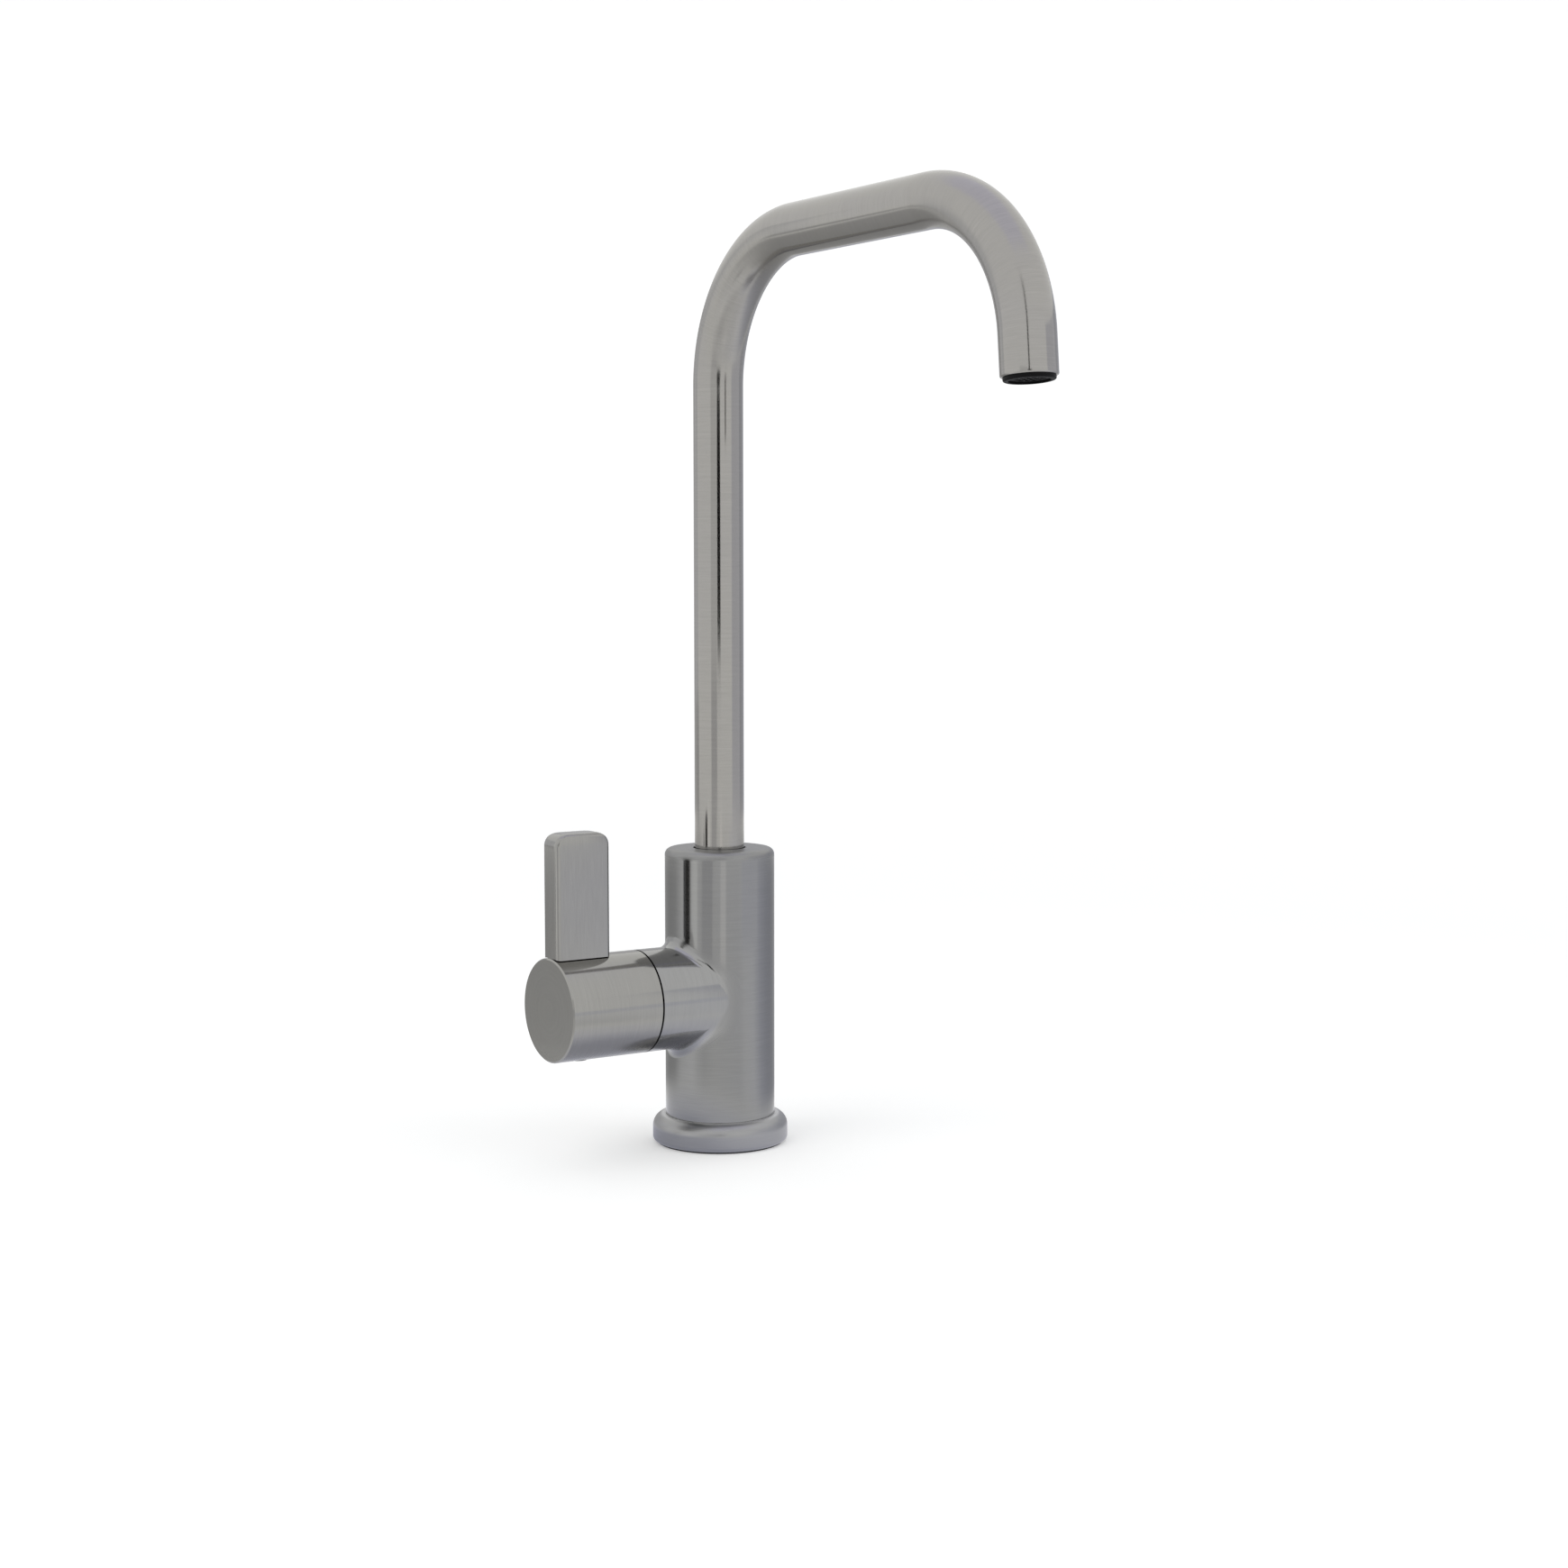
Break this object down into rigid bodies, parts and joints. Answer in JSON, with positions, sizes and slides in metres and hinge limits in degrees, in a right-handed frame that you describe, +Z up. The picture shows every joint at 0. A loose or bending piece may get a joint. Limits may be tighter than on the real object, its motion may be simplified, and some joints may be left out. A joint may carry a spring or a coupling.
{
  "type": "boiling water tap",
  "caption": "Deck-mounted boiling water tap: upright round body, side barrel with a quarter-turn lever, and a tall bent swivel spout with a black flow outlet.",
  "frame": {"origin": "on the body's axis in the plane of the worktop, midway between the two fixing holes", "axes": "+Z up along the body; the spout reaches towards -Y and the handle barrel points towards -X at rest"},
  "size_m": [0.0957, 0.2095, 0.334],
  "materials": {
    "satin_body": "brushed nickel plate",
    "satin_flange": "brushed nickel plate",
    "satin_spout": "fine brushed along the rings of the tube",
    "satin_hub": "brushed nickel plate",
    "satin_lever": "brushed nickel plate",
    "gasket_rubber": "matte",
    "seal_rubber": "matte",
    "nipple_brass": "turned",
    "cartridge_brass": "turned",
    "disc_ceramic": "lapped",
    "screw_steel": "turned",
    "bush_plastic": "moulded",
    "glide_plastic": "moulded",
    "plug_plastic": "moulded",
    "outlet_plastic": "moulded, slightly glossy",
    "comb_plastic": "moulded",
    "hose_silicone": "translucent silicone"
  },
  "bodies": {
    "base": {"tap_body": "satin_body", "base_flange": "satin_flange", "base_gasket": "gasket_rubber", "guide_bush": "bush_plastic", "spout_retaining_screw": "screw_steel", "glide_ring": "glide_plastic", "cartridge_housing": "cartridge_brass", "fixed_disc": "disc_ceramic", "seat_seal": "seal_rubber", "housing_o_ring": "seal_rubber"},
    "handle": {"handle_hub": "satin_hub", "lever_paddle": "satin_lever", "lever_stud": "screw_steel", "handle_grub_screw": "screw_steel", "screw_plug": "plug_plastic", "cartridge_spindle": "cartridge_brass", "stop_ring": "screw_steel", "circlip": "screw_steel", "moving_disc": "disc_ceramic", "spindle_o_ring": "seal_rubber"},
    "spout": {"spout_tube": "satin_spout", "swivel_nipple": "nipple_brass", "spout_o_ring_1": "seal_rubber", "spout_o_ring_2": "seal_rubber", "inner_hose": "hose_silicone", "outlet_housing": "outlet_plastic", "flow_straightener": "comb_plastic", "outlet_seal": "seal_rubber"}
  },
  "joints": [
    {"name": "handle_turn", "type": "hinge", "parent": "base", "child": "handle", "pos_m": [-0.053, 0, 0.055], "axis": [1, 0, 0], "range_deg": [0, 90]},
    {"name": "spout_swivel", "type": "hinge", "parent": "base", "child": "spout", "pos_m": [0, 0, 0.09], "axis": [0, 0, 1], "continuous": true}
  ]
}
